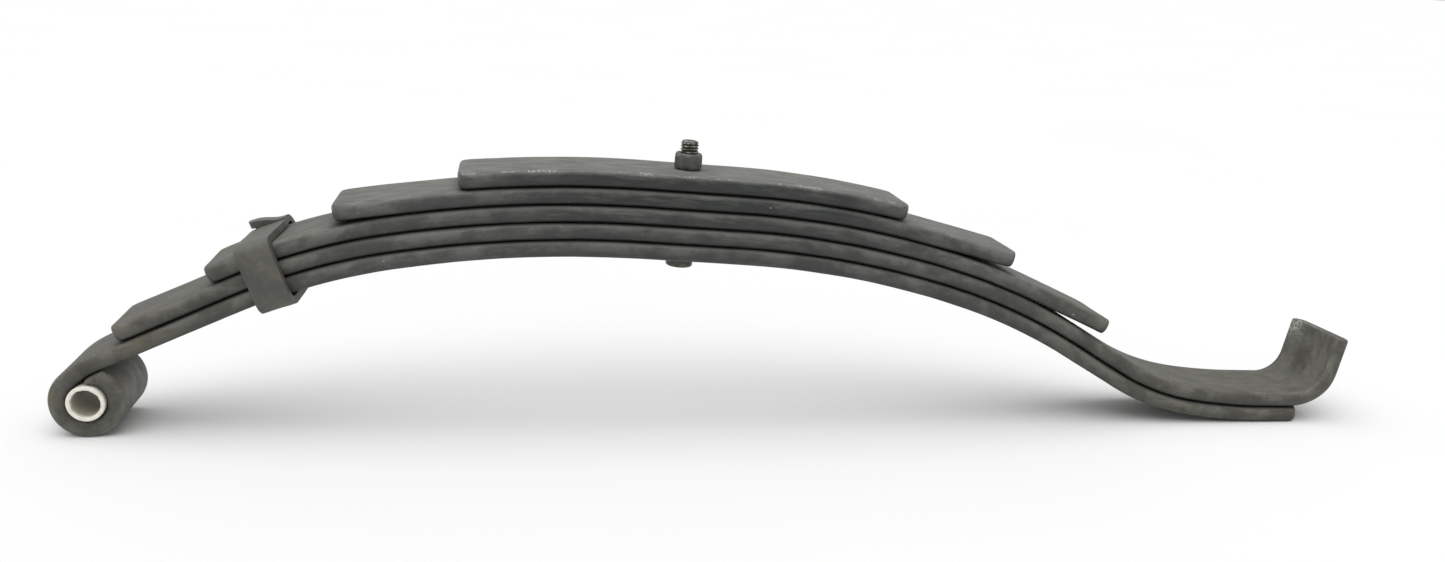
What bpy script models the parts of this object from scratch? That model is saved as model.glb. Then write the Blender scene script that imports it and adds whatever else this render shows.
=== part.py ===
"""Slipper leaf spring: five stacked leaves, a rolled eye with its bushing at the front, a hook at the rear.

Metres, +Z up. The spring stands arch up on its eye and its slipper end at Z = 0, with the hook towards +X.
Every leaf follows one line, the main leaf's top face, at its own height above it. The leaves bend as three
links: a clamped centre, a front arm and a rear arm, which turn about two flex axes across the pack. So each
of the four lower leaves is cut along a cylinder round each flex axis. The short top leaf stays whole.
"""

import math

import bmesh
import bpy
from mathutils import Matrix, Vector

# Leaf stock
LEAF_WIDTH = 0.04445
LEAF_THICK = 0.0086
LEAF_GAP = 0.0005
LEAF_PITCH = LEAF_THICK + LEAF_GAP
EDGE_ROUND = 0.0024
CORNER_ROUND = 0.005

# The leaf line's origin on the main leaf's top face, how far the seat tips towards +X there, and the centre
# bolt's place along the line: halfway along the fifth leaf
LINE_X = -0.03376
LINE_Z = 0.10054
SEAT_FALL = 2.9
BOLT_PLACE = -0.0026

# The leaf line from its origin outwards: (length, degrees that it turns down)
SEAT = (0.025, 0.0)
FRONT_SHOULDER = (0.125, 11.8)
FRONT_KNEE = (0.079, 15.3)
FRONT_STRAIGHT = (0.0755, 0.0)
REAR_SHOULDER = (0.125, 14.4)
REAR_KNEE = (0.0745, 12.9)
REAR_STRAIGHT = (0.0363, 0.0)
SLIPPER_RISE = (0.048, -20.7)
SLIPPER_EASE = (0.0475, -8.9)
SLIPPER_FLAT = (0.0205, 0.0)

# The eye: the main leaf's end rolled down and under
EYE_RADIUS = 0.0181
EYE_LEAD_RADIUS = 0.050
EYE_LEAD_TURN = 22.8
EYE_TURN = 278.0

# The hook: the second leaf's end turned up past the end of the main leaf
HOOK_START = 0.0153
HOOK_RADIUS = 0.0251
HOOK_TURN = -80.0
HOOK_HEIGHT = 0.0205

# Flex axes of the two arms, as distances along the leaf line from the bolt
FLEX_DISTANCE = 0.100
FLEX_RADIUS = 0.030
FLEX_CLEARANCE = 0.0005

# Centre bolt and nut
BOLT_RADIUS = 0.0047625
BOLT_HOLE_RADIUS = 0.0051
BOLT_HEAD_RADIUS = 0.00715
BOLT_HEAD_HEIGHT = 0.0064
THREAD_PROUD = 0.0064
NUT_ACROSS_FLATS = 0.0142875
NUT_HEIGHT = 0.0083
NUT_TURN = 22.0
CHAMFER = 0.0008
TOUCH_GAP = 0.0003

# Eye bushing
BUSH_OUTER_RADIUS = 0.00915
BUSH_BORE_RADIUS = 0.0070
BUSH_LENGTH = 0.0456

# Rebound clip round the three lowest leaves
CLIP_DISTANCE = 0.2088
CLIP_BAND = 0.0175
CLIP_STRAP = 0.0036
CLIP_INNER_HALF_WIDTH = 0.0234
CLIP_CLEARANCE = 0.0004
CLIP_CORNER = 0.0035
CLIP_SKEW = -5.0
CLIP_SEAM_FRONT = 0.0125
CLIP_SEAM_REAR = 0.0140
CLIP_SLOT = 0.0010

# Mesh density
ROW_LENGTH = 0.0125
ROW_TURN = 12.0
SHORTEST_ROW = 0.001
ROUND_SIDES = 24
FLEX_SIDES = 48
CORNER_STEPS = 3

# Angles over which an edge is shaded sharp, and over which it is bevelled
SHARP_ANGLE = 35.0
BEVEL_ANGLE = 50.0

# How far the cutters reach: across the pack, through it along the bolt, and past a face they trim
ACROSS_PACK = 2 * LEAF_WIDTH
THROUGH_PACK = 0.2
PAST_FACE = 0.0001

BASE_FRONT = [SEAT, FRONT_SHOULDER, FRONT_KNEE, FRONT_STRAIGHT]
BASE_REAR = [SEAT, REAR_SHOULDER, REAR_KNEE, REAR_STRAIGHT, SLIPPER_RISE, SLIPPER_EASE, SLIPPER_FLAT]


def arc(radius, turn):
    """A (length, turn) entry of the leaf line for an arc of this radius."""
    return radius * abs(math.radians(turn)), turn


def length_of(arcs):
    return sum(length for length, _ in arcs)


EYE_FRONT = BASE_FRONT + [arc(EYE_LEAD_RADIUS, EYE_LEAD_TURN), arc(EYE_RADIUS, EYE_TURN)]
HOOK_REAR = BASE_REAR[:-1] + [(HOOK_START, 0.0), arc(HOOK_RADIUS, HOOK_TURN), (HOOK_HEIGHT, 0.0)]

# Each leaf from the bottom up: its own line each way, and how far it reaches along that line.
# The third and fourth leaves spring clear of the leaf below at some of their ends.
LEAVES = {
    "main_leaf": {
        "front": EYE_FRONT,
        "rear": BASE_REAR,
        "reach": (length_of(EYE_FRONT), length_of(BASE_REAR)),
        "round_ends": (False, True),
    },
    "second_leaf": {
        "front": BASE_FRONT,
        "rear": HOOK_REAR,
        "reach": (0.2905, length_of(HOOK_REAR)),
        "round_ends": (True, False),
    },
    "third_leaf": {
        "front": BASE_FRONT,
        "rear": [SEAT, REAR_SHOULDER, (0.030, 5.2), (0.080, 3.4)],
        "reach": (0.2375, 0.2390),
        "round_ends": (True, True),
    },
    "fourth_leaf": {
        "front": [SEAT, (0.100, 9.4), (0.070, 3.5)],
        "rear": [SEAT, (0.100, 11.5), (0.070, 0.0)],
        "reach": (0.1755, 0.1743),
        "round_ends": (True, True),
    },
    "fifth_leaf": {
        "front": [SEAT, FRONT_SHOULDER],
        "rear": [SEAT, REAR_SHOULDER],
        "reach": (0.1147, 0.1090),
        "round_ends": (True, True),
    },
}
CUT_LEAVES = ("main_leaf", "second_leaf", "third_leaf", "fourth_leaf")


def clear_scene():
    for obj in list(bpy.data.objects):
        bpy.data.objects.remove(obj, do_unlink=True)


def new_collection(name):
    collection = bpy.data.collections.new(name)
    bpy.context.scene.collection.children.link(collection)
    return collection


def make_material(name, colour, roughness, metallic):
    material = bpy.data.materials.new(name)
    material.use_nodes = True
    shader = material.node_tree.nodes["Principled BSDF"]
    shader.inputs["Base Color"].default_value = (*colour, 1.0)
    shader.inputs["Roughness"].default_value = roughness
    shader.inputs["Metallic"].default_value = metallic
    return material


def line_point(leaf, distance, height):
    """World (x, z) at a distance from the bolt, negative to the front, raised by a height across the leaf line."""
    side = 1 if distance >= 0 else -1
    arcs = leaf["rear"] if side > 0 else leaf["front"]
    left = abs(distance)
    x, z = LINE_X, LINE_Z
    fall = side * math.radians(SEAT_FALL)
    for length, turn in arcs:
        step = min(left, length)
        bend = math.radians(turn) * step / length
        chord = step if abs(bend) < 1e-9 else step * math.sin(bend / 2) / (bend / 2)
        x += side * chord * math.cos(fall + bend / 2)
        z -= chord * math.sin(fall + bend / 2)
        fall += bend
        left -= step
        if left <= 0:
            break
    return x + side * height * math.sin(fall), z + height * math.cos(fall)


def stations(arcs, reach, rounded):
    """Distances of the rows of one side of a leaf, from the bolt outwards. A rounded end has a long last row."""
    rows = [0.0]
    begun = 0.0
    for length, turn in arcs:
        count = max(1, math.ceil(max(length / ROW_LENGTH, abs(turn) / ROW_TURN) - 1e-6))
        rows += [begun + length * i / count for i in range(1, count + 1)]
        begun += length
    last_row = 1.5 * CORNER_ROUND if rounded else SHORTEST_ROW
    return [row for row in rows if row < reach - last_row] + [reach]


def leaf_rows(leaf, first, last):
    """Signed distances of the rows of a leaf between two distances, both within its reach."""
    (front, rear), (front_round, rear_round) = leaf["reach"], leaf["round_ends"]
    rows = {-row for row in stations(leaf["front"], front, front_round)}
    rows |= set(stations(leaf["rear"], rear, rear_round))
    return [first] + [row for row in sorted(rows) if first + 1e-6 < row < last - 1e-6] + [last]


def bent_strip(name, rows, place, rounded=(False, False)):
    """A strip one face wide, whose row i and edge side (-1 or 1) lie where place says."""
    bm = bmesh.new()
    bmesh.ops.create_grid(bm, x_segments=len(rows) - 1, y_segments=1, size=0.5)
    corners = [vertex for vertex in bm.verts if rounded[vertex.co.x > 0] and abs(vertex.co.x) > 0.4999]
    for vertex in bm.verts:
        row = round((vertex.co.x + 0.5) * (len(rows) - 1))
        side = 1 if vertex.co.y > 0 else -1
        vertex.co = Vector(place(rows[row], side))
    if corners:
        bmesh.ops.bevel(
            bm,
            geom=corners,
            offset=CORNER_ROUND,
            offset_type="OFFSET",
            segments=CORNER_STEPS,
            profile=0.5,
            affect="VERTICES",
        )
    mesh = bpy.data.meshes.new(name)
    bm.to_mesh(mesh)
    bm.free()
    return mesh


def add_object(name, mesh, collection, material, origin):
    """An object whose origin is this world point, for a mesh given in world coordinates."""
    mesh.transform(Matrix.Translation(-Vector(origin)))
    mesh.materials.append(material)
    mesh.shade_smooth()
    mesh.set_sharp_from_angle(angle=math.radians(SHARP_ANGLE))
    obj = bpy.data.objects.new(name, mesh)
    obj.location = origin
    collection.objects.link(obj)
    return obj


def thicken(obj, thickness, edge_round, segments):
    solid = obj.modifiers.new("thickness", "SOLIDIFY")
    solid.thickness = thickness
    solid.offset = 0.0
    solid.use_even_offset = True
    bevel = obj.modifiers.new("rounded_edges", "BEVEL")
    bevel.width = edge_round
    bevel.segments = segments
    bevel.limit_method = "ANGLE"
    bevel.angle_limit = math.radians(BEVEL_ANGLE)


def cut(obj, cutter, operation):
    boolean = obj.modifiers.new(cutter.name, "BOOLEAN")
    boolean.operation = operation
    boolean.object = cutter
    boolean.solver = "EXACT"


def leaf_piece(name, leaf_name, first, last, origin, collection, material):
    """One stretch of a leaf, between two distances along its line."""
    leaf = LEAVES[leaf_name]
    level = list(LEAVES).index(leaf_name)
    middle = level * LEAF_PITCH - LEAF_THICK / 2

    def place(distance, side):
        x, z = line_point(leaf, distance, middle)
        return x, side * LEAF_WIDTH / 2, z

    ends = zip((-first, last), leaf["reach"], leaf["round_ends"])
    rounded = [at_end and abs(distance - reach) < 1e-6 for distance, reach, at_end in ends]
    mesh = bent_strip(name, leaf_rows(leaf, first, last), place, rounded)
    obj = add_object(name, mesh, collection, material, origin)
    thicken(obj, LEAF_THICK, EDGE_ROUND, 2)
    return obj


def add_cylinder(bm, point, radius, length, sides, turn):
    """A capped cylinder centred on a point, its axis turned from Z by a rotation matrix."""
    bmesh.ops.create_cone(
        bm,
        cap_ends=True,
        segments=sides,
        radius1=radius,
        radius2=radius,
        depth=length,
        matrix=Matrix.Translation(point) @ turn,
    )


def make_cutter(name, bm, cutters):
    mesh = bpy.data.meshes.new(name)
    bm.to_mesh(mesh)
    bm.free()
    obj = bpy.data.objects.new(name, mesh)
    obj.hide_render = True
    obj.display_type = "WIRE"
    cutters.objects.link(obj)
    return obj


def flex_cutter(name, points, radius, cutters):
    """The hull of cylinders across the pack round the given flex axes."""
    bm = bmesh.new()
    across = Matrix.Rotation(math.radians(90), 4, "X")
    for point in points:
        add_cylinder(bm, point, radius, ACROSS_PACK, FLEX_SIDES, across)
    if len(points) > 1:
        hull = bmesh.ops.convex_hull(bm, input=bm.verts[:])
        inside = [item for item in hull["geom_interior"] if isinstance(item, bmesh.types.BMVert)]
        bmesh.ops.delete(bm, geom=inside, context="VERTS")
        bmesh.ops.dissolve_limit(bm, angle_limit=math.radians(0.5), verts=bm.verts[:], edges=bm.edges[:])
        bmesh.ops.recalc_face_normals(bm, faces=bm.faces[:])
    return make_cutter(name, bm, cutters)


def seat_matrix(height):
    """The frame of the seat, raised along the bolt by a height above the main leaf's top face."""
    x, z = line_point(LEAVES["main_leaf"], BOLT_PLACE, height)
    return Matrix.Translation((x, 0.0, z)) @ Matrix.Rotation(math.radians(SEAT_FALL), 4, "Y")


def turned_object(name, profile, matrix, collection, material):
    """A profile of (radius, height), from the top down its outer side, turned about the local Z axis."""
    bm = bmesh.new()
    points = [bm.verts.new((radius, 0.0, height)) for radius, height in profile]
    for start, end in zip(points, points[1:]):
        bm.edges.new((start, end))
    if profile[0][0] > 0:
        bm.edges.new((points[-1], points[0]))
    mesh = bpy.data.meshes.new(name)
    bm.to_mesh(mesh)
    bm.free()
    mesh.materials.append(material)
    obj = bpy.data.objects.new(name, mesh)
    obj.matrix_world = matrix
    collection.objects.link(obj)
    screw = obj.modifiers.new("turning", "SCREW")
    screw.steps = ROUND_SIDES
    screw.render_steps = ROUND_SIDES
    screw.use_merge_vertices = True
    screw.merge_threshold = 0.00001
    screw.use_smooth_shade = True
    return obj


def make_bolt(collection, material):
    """The centre bolt: a round head below the main leaf, a shank through the pack and a free threaded end."""
    head_top = -LEAF_THICK - TOUCH_GAP
    head_bottom = head_top - BOLT_HEAD_HEIGHT
    top = 4 * LEAF_PITCH + TOUCH_GAP + NUT_HEIGHT + THREAD_PROUD
    profile = [
        (0.0, top),
        (BOLT_RADIUS - CHAMFER, top),
        (BOLT_RADIUS, top - CHAMFER),
        (BOLT_RADIUS, head_top),
        (BOLT_HEAD_RADIUS, head_top),
        (BOLT_HEAD_RADIUS, head_bottom + CHAMFER),
        (BOLT_HEAD_RADIUS - CHAMFER, head_bottom),
        (0.0, head_bottom),
    ]
    return turned_object("centre_bolt", profile, seat_matrix(0.0), collection, material)


def make_nut(collection, cutters, material, bore):
    """The hexagon nut on the fifth leaf, its corners taken off by a turned blank."""
    corner_radius = NUT_ACROSS_FLATS / math.sqrt(3)
    frame = seat_matrix(4 * LEAF_PITCH + TOUCH_GAP)
    turn = Matrix.Rotation(math.radians(NUT_TURN), 4, "Z")
    bm = bmesh.new()
    add_cylinder(bm, (0, 0, NUT_HEIGHT / 2), corner_radius, NUT_HEIGHT, 6, turn)
    mesh = bpy.data.meshes.new("centre_nut")
    bm.to_mesh(mesh)
    bm.free()
    mesh.materials.append(material)
    nut = bpy.data.objects.new("centre_nut", mesh)
    nut.matrix_world = frame
    collection.objects.link(nut)
    face_radius = NUT_ACROSS_FLATS / 2
    blank_radius = corner_radius + PAST_FACE
    blank_profile = [
        (0.0, NUT_HEIGHT + PAST_FACE),
        (face_radius, NUT_HEIGHT + PAST_FACE),
        (blank_radius, NUT_HEIGHT - CHAMFER),
        (blank_radius, CHAMFER),
        (face_radius, -PAST_FACE),
        (0.0, -PAST_FACE),
    ]
    blank = turned_object("nut_blank", blank_profile, frame, cutters, material)
    blank.hide_render = True
    blank.display_type = "WIRE"
    cut(nut, blank, "INTERSECT")
    cut(nut, bore, "DIFFERENCE")
    return nut


def make_bushing(collection, material, centre):
    """The plain sleeve in the eye, its ends just proud of the leaf's sides."""
    half = BUSH_LENGTH / 2
    profile = [
        (BUSH_OUTER_RADIUS - CHAMFER / 2, half),
        (BUSH_OUTER_RADIUS, half - CHAMFER / 2),
        (BUSH_OUTER_RADIUS, CHAMFER / 2 - half),
        (BUSH_OUTER_RADIUS - CHAMFER / 2, -half),
        (BUSH_BORE_RADIUS, -half),
        (BUSH_BORE_RADIUS, half),
    ]
    matrix = Matrix.Translation(centre) @ Matrix.Rotation(math.radians(90), 4, "X")
    return turned_object("eye_bushing", profile, matrix, collection, material)


def clip_loop():
    """Rows of the clip's strap, each (height, y at the front edge, y at the rear edge), from far tab to near tab."""
    half_y = CLIP_INNER_HALF_WIDTH + CLIP_STRAP / 2
    half_z = 1.5 * LEAF_PITCH - LEAF_GAP / 2 + CLIP_CLEARANCE + CLIP_STRAP / 2
    rows = [(half_z, CLIP_SEAM_FRONT + CLIP_SLOT / 2, CLIP_SEAM_REAR + CLIP_SLOT / 2)]
    corners = [(1, 1, 90), (1, -1, 0), (-1, -1, -90), (-1, 1, 180)]
    for side_y, side_z, first in corners:
        for step in range(CORNER_STEPS + 1):
            angle = math.radians(first - 90 * step / CORNER_STEPS)
            y = side_y * (half_y - CLIP_CORNER) + CLIP_CORNER * math.cos(angle)
            z = side_z * (half_z - CLIP_CORNER) + CLIP_CORNER * math.sin(angle)
            rows.append((z, y, y))
    rows.append((half_z, CLIP_SEAM_FRONT - CLIP_SLOT / 2, CLIP_SEAM_REAR - CLIP_SLOT / 2))
    return rows


def make_clip(collection, material, origin):
    """The rebound clip: a strap folded over the third leaf, its long and short tabs meeting at a seam."""
    leaf = LEAVES["main_leaf"]
    middle = 1.5 * LEAF_PITCH - LEAF_GAP / 2 - LEAF_THICK
    x, z = line_point(leaf, -CLIP_DISTANCE, middle)
    ahead = Vector(line_point(leaf, -CLIP_DISTANCE + CLIP_BAND / 2, middle))
    behind = Vector(line_point(leaf, -CLIP_DISTANCE - CLIP_BAND / 2, middle))
    slope = math.atan2(ahead.y - behind.y, ahead.x - behind.x)
    rows = clip_loop()

    def place(row, side):
        height, front_y, rear_y = row
        return side * CLIP_BAND / 2, rear_y if side > 0 else front_y, height

    mesh = bent_strip("rebound_clip", rows, place)
    turn = Matrix.Rotation(-slope, 4, "Y") @ Matrix.Rotation(math.radians(CLIP_SKEW), 4, "Z")
    mesh.transform(Matrix.Translation((x, 0.0, z)) @ turn)
    clip = add_object("rebound_clip", mesh, collection, material, origin)
    thicken(clip, CLIP_STRAP, CHAMFER, 1)
    return clip


def main():
    clear_scene()
    parts = new_collection("leaf_spring")
    cutters = new_collection("leaf_spring_cutters")
    painted = make_material("leaf_black", (0.085, 0.087, 0.083), 0.55, 0.3)
    strap = make_material("clip_black", (0.075, 0.074, 0.070), 0.6, 0.3)
    steel = make_material("bolt_steel", (0.13, 0.13, 0.12), 0.45, 0.8)
    nylon = make_material("bush_white", (0.80, 0.78, 0.70), 0.5, 0.0)

    mid_pack = (3 * LEAF_PITCH - LEAF_THICK) / 2
    pivots = {}
    for arm, sign in (("front", -1), ("rear", 1)):
        x, z = line_point(LEAVES["main_leaf"], sign * FLEX_DISTANCE, mid_pack)
        pivots[arm] = Vector((x, 0.0, z))
    centre_zone = flex_cutter("centre_zone", list(pivots.values()), FLEX_RADIUS, cutters)
    arm_clearance = {
        arm: flex_cutter(arm + "_arm_clearance", [pivot], FLEX_RADIUS + FLEX_CLEARANCE, cutters)
        for arm, pivot in pivots.items()
    }

    hole_bm = bmesh.new()
    frame = seat_matrix(0.0)
    along_bolt = frame.to_3x3().to_4x4()
    add_cylinder(hole_bm, frame.translation, BOLT_HOLE_RADIUS, THROUGH_PACK, ROUND_SIDES, along_bolt)
    bolt_hole = make_cutter("bolt_hole", hole_bm, cutters)

    seat_origin = (LINE_X, 0.0, LINE_Z)
    for leaf_name in CUT_LEAVES:
        reach = LEAVES[leaf_name]["reach"]
        overlap = FLEX_DISTANCE + FLEX_RADIUS + ROW_LENGTH
        centre = leaf_piece(leaf_name + "_centre", leaf_name, -overlap, overlap, seat_origin, parts, painted)
        cut(centre, centre_zone, "INTERSECT")
        cut(centre, bolt_hole, "DIFFERENCE")
        spans = {"front": (-reach[0], -FLEX_DISTANCE), "rear": (FLEX_DISTANCE, reach[1])}
        for arm, (first, last) in spans.items():
            name = leaf_name + "_" + arm + "_arm"
            piece = leaf_piece(name, leaf_name, first, last, pivots[arm], parts, painted)
            cut(piece, arm_clearance[arm], "DIFFERENCE")
    reach = LEAVES["fifth_leaf"]["reach"]
    fifth = leaf_piece("fifth_leaf", "fifth_leaf", -reach[0], reach[1], seat_origin, parts, painted)
    cut(fifth, bolt_hole, "DIFFERENCE")

    make_bolt(parts, steel)
    make_nut(parts, cutters, steel, bolt_hole)
    eye_distance = length_of(EYE_FRONT[:-1])
    eye_x, eye_z = line_point(LEAVES["main_leaf"], -eye_distance, -EYE_RADIUS)
    make_bushing(parts, nylon, (eye_x, 0.0, eye_z))
    make_clip(parts, strap, pivots["front"])


main()
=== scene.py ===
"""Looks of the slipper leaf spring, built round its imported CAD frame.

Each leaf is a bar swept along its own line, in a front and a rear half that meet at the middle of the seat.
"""

import math

import bmesh
import bpy
from mathutils import Matrix, Vector, noise


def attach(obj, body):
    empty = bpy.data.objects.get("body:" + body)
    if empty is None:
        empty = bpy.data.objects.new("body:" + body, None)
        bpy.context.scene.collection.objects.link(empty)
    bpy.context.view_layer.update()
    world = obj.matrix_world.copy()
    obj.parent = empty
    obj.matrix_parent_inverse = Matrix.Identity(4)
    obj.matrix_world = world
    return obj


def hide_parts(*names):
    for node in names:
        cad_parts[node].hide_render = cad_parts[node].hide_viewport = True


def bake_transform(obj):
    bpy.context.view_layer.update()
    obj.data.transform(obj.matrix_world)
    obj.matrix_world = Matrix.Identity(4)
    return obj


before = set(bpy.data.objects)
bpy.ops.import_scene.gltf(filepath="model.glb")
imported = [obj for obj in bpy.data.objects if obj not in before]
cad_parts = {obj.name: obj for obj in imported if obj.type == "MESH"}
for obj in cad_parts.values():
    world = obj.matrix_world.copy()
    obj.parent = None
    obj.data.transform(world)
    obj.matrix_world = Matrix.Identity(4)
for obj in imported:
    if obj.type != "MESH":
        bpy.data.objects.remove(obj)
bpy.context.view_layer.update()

# Lengths are in metres and angles in degrees, unless a comment says otherwise.

# Leaf stock, as in the CAD
LEAF_WIDTH = 0.04445
LEAF_THICK = 0.0086
LEAF_GAP = 0.0005
LEAF_PITCH = LEAF_THICK + LEAF_GAP

# The leaf line's origin on the main leaf's top face, how far the seat tips towards +X there, and the centre
# bolt's place along the line: halfway along the fifth leaf
LINE_X = -0.03376
LINE_Z = 0.10054
SEAT_FALL = 2.9
BOLT_PLACE = -0.0026

# The leaf line from its origin outwards: (length, degrees that it turns down)
SEAT = (0.025, 0.0)
FRONT_SHOULDER = (0.125, 11.8)
FRONT_KNEE = (0.079, 15.3)
FRONT_STRAIGHT = (0.0755, 0.0)
REAR_SHOULDER = (0.125, 14.4)
REAR_KNEE = (0.0745, 12.9)
REAR_STRAIGHT = (0.0363, 0.0)
SLIPPER_RISE = (0.048, -20.7)
SLIPPER_EASE = (0.0475, -8.9)
SLIPPER_FLAT = (0.0205, 0.0)

# The eye, rolled down and under. Its wrapped end thins from WRAP_START on, to stay clear of the lead-in.
EYE_RADIUS = 0.0181
EYE_LEAD_RADIUS = 0.050
EYE_LEAD_TURN = 22.8
EYE_TURN = 313.0
WRAP_GAP = 0.0004
WRAP_START = 3 * EYE_RADIUS
LEAD_BACK = 0.03
LEAD_STEP = 0.0005
LEAD_STEPS = 120

# The hook at the second leaf's rear end, a little askew
HOOK_START = 0.0153
HOOK_RADIUS = 0.0251
HOOK_TURN = -80.0
HOOK_HEIGHT = 0.0205
HOOK_SKEW = 0.038

# Distances from the origin along the leaf line, at which make_leaves finds points on the middle of the pack
BEND_START = 0.015
BEND_END = 0.185

# The bar's section: its rolled edges swell outwards and round off over EDGE_DEPTH of the width
EDGE_DEPTH = 0.0034
EDGE_POWER = 2.2
EDGE_STEPS = 14
FLAT_STEPS = 8
ROW_LENGTH = 0.0030
ROW_TURN = 3.0
END_STEPS = 7

# Unevenness of the rolled and forged bar, which fades out near the origin, where the halves meet
WAVE_HEIGHT = 0.00016
WAVE_LENGTH = 0.022
NICK_HEIGHT = 0.00018
NICK_LENGTH = 0.0045
NICK_PATCHES = 1.7
EDGE_WAVE = 1.5
CALM_START = 0.0125
CALM_LENGTH = 0.012

# Where a leaf's finish changes, as distances from the origin: from the oily middle, and to the brown arms.
# The lowest leaf's middle is the least oily, and from the OILY_LEVELS leaf up it is fully so.
OILY_SPAN = (0.04, 0.16)
OILY_LEAST = 0.35
OILY_LEVELS = 3
BROWN_SPAN = (0.10, 0.30)

# Where a leaf's painted shade beside the gaps, its painted glints along the open upper edges and the hook's
# scuff begin
# and end: past the end of the leaf above, up or down the side as a share of half the thickness, and at the hook
# from its tip and towards its far side
COVERED_SPAN = (-0.004, 0.003)
GAP_ABOVE_SPAN = (0.72, 1.0)
GAP_BELOW_SPAN = (0.62, 0.98)
GAP_OPEN_SHARE = 0.4
# Painted glints go along the open upper edges, fewer on the lower leaves
GLINT_EDGE_SPAN = (0.3, 0.8)
GLINT_EDGE_LOWER_SHARE = 0.25
SCUFF_SPAN = (-0.012, -0.003)
SCUFF_SIDE_SPAN = (0.006, 0.016)
LEAF_SHIFT = 0.5

# Centre bolt
BOLT_RADIUS = 0.0047625
BOLT_HOLE_RADIUS = 0.0051
BOLT_HOLE_SIDES = 48
BOLT_HOLE_DEPTH = 0.2
BOLT_HEAD_RADIUS = 0.00715
BOLT_HEAD_HEIGHT = 0.0064
BOLT_HEAD_ROUND = 0.0012
BOLT_NECK = 0.0004
BOLT_CHAMFER = 0.0011
BOLT_CHAMFER_SLOPE = 0.9
BOLT_END_DISH = 0.0001
BOLT_SIDES = 64
THREAD_START = 0.002
THREAD_FADE = 0.001
THREAD_PROUD = 0.0064
THREAD_PITCH = 0.0015875
THREAD_DEPTH = 0.00092
THREAD_FLANK = 0.42
THREAD_ROWS = 12
THREAD_WEAR = 0.00006

# Centre nut
NUT_ACROSS_FLATS = 0.0142875
NUT_HEIGHT = 0.0083
NUT_TURN = 22.0
NUT_BORE_PLAY = 0.00008
NUT_BORE_CHAMFER = 0.0006
NUT_CHAMFER = 0.0026
NUT_CONE_INSET = 0.0006
NUT_CONE_SLOPE = 0.95
NUT_CORNER_CUT = 0.0003
NUT_SOFTNESS = 0.0005
NUT_CHAMFER_STEPS = 10
NUT_FLAT_STEPS = 5
NUT_SIDES = 144
TOUCH_GAP = 0.0003

# Eye bushing
BUSH_OUTER_RADIUS = 0.00915
BUSH_BORE_RADIUS = 0.0070
BUSH_LENGTH = 0.0456
BUSH_LIP = 0.0007
BUSH_CHIP = 0.00028
BUSH_FINE_CHIP = 0.00016
BUSH_SIDES = 128
ROUND_STEPS = 6

# Rebound clip. A place along its band runs from -1 at the eye's side to 1 at the bolt's side.
CLIP_DISTANCE = 0.2088
CLIP_BAND = 0.0175
CLIP_STRAP = 0.0036
CLIP_INNER_HALF_WIDTH = 0.0234
CLIP_CLEARANCE = 0.0004
CLIP_SKEW = -5.0
CLIP_CORNER = 0.0050
CLIP_CORNER_STEPS = 8
CLIP_WALL_STEPS = 6
CLIP_WALL_LENGTH = 0.004
CLIP_TAB_STEPS = 12
CLIP_COLUMNS = 14
CLIP_BEVEL = 0.0013
CLIP_BEVEL_STEPS = 5

# The clip's tabs: their seam, from the middle of the spring, and how its far tab is lifted and slipped forwards
CLIP_SEAM_FRONT = 0.0125
CLIP_SEAM_REAR = 0.0140
CLIP_SEAM_OPENING = 0.00075
CLIP_SEAM_CLOSED = 0.00004
CLIP_FAR_ROUND = 0.0055
CLIP_FAR_ROUND_SHARE = 0.8
CLIP_NEAR_ROUND = 0.0012
CLIP_LIFT = 0.0009
CLIP_SPRUNG = 0.0028
CLIP_SLIP = 0.0026
CLIP_SAG = 0.0013
CLIP_DENT_HEIGHT = 0.00022
CLIP_DENT_LENGTH = 0.009

# Colours in linear light. A pair is the colour at the middle of the pack and on the arms.
LEAF_PAINT = ((0.124, 0.127, 0.117), (0.128, 0.126, 0.106))
LEAF_DEEP = ((0.050, 0.053, 0.050), (0.060, 0.057, 0.044))
LEAF_DUST = ((0.128, 0.131, 0.119), (0.080, 0.079, 0.068))
LEAF_PALE_DUST = ((0.188, 0.191, 0.173), (0.124, 0.121, 0.105))
# Painted shade, for the lower part of the leaves' sides
LEAF_PAINTED_SHADE = (0.022, 0.023, 0.021)
LEAF_OIL = (0.014, 0.017, 0.015)
LEAF_RUST = (0.120, 0.100, 0.068)
# Painted shade, for the gaps between the leaves
LEAF_GAP_SHADE = (0.007, 0.007, 0.006)
# Colour of worn specks and the hook's scuff, and of the painted glints
LEAF_WORN_AND_GLINT = (0.60, 0.60, 0.56)
LEAF_EDGE_LINE = (0.026, 0.027, 0.024)
CLIP_PAINT = ((0.058, 0.058, 0.050), (0.092, 0.089, 0.075))
CLIP_DUST = (0.112, 0.111, 0.098)
CLIP_RUST = (0.115, 0.092, 0.058)
CLIP_WORN = (0.6, 0.6, 0.55)
BOLT_STEEL = ((0.030, 0.030, 0.025), (0.110, 0.107, 0.092))
BOLT_CREST = (0.48, 0.47, 0.42)
NUT_PAINT = ((0.058, 0.059, 0.053), (0.108, 0.107, 0.095))
NUT_DUST = (0.135, 0.135, 0.120)
NUT_RUBBED = (0.22, 0.22, 0.19)
BUSH_NYLON = ((0.80, 0.79, 0.71), (0.70, 0.68, 0.58))
# Painted shade, for the inside of the bushing's bore
BUSH_BORE_SHADE = (0.42, 0.39, 0.33)
FLOOR_COLOURS = ((0.80, 0.80, 0.80), (0.83, 0.83, 0.83))

# Studio
FLOOR_HALF_SIZE = 20.0
SUN_STRENGTH = 2.1
SUN_SPREAD = 75
SUN_TIP = (14, -8)
WORLD_STRENGTH = 0.6

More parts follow.
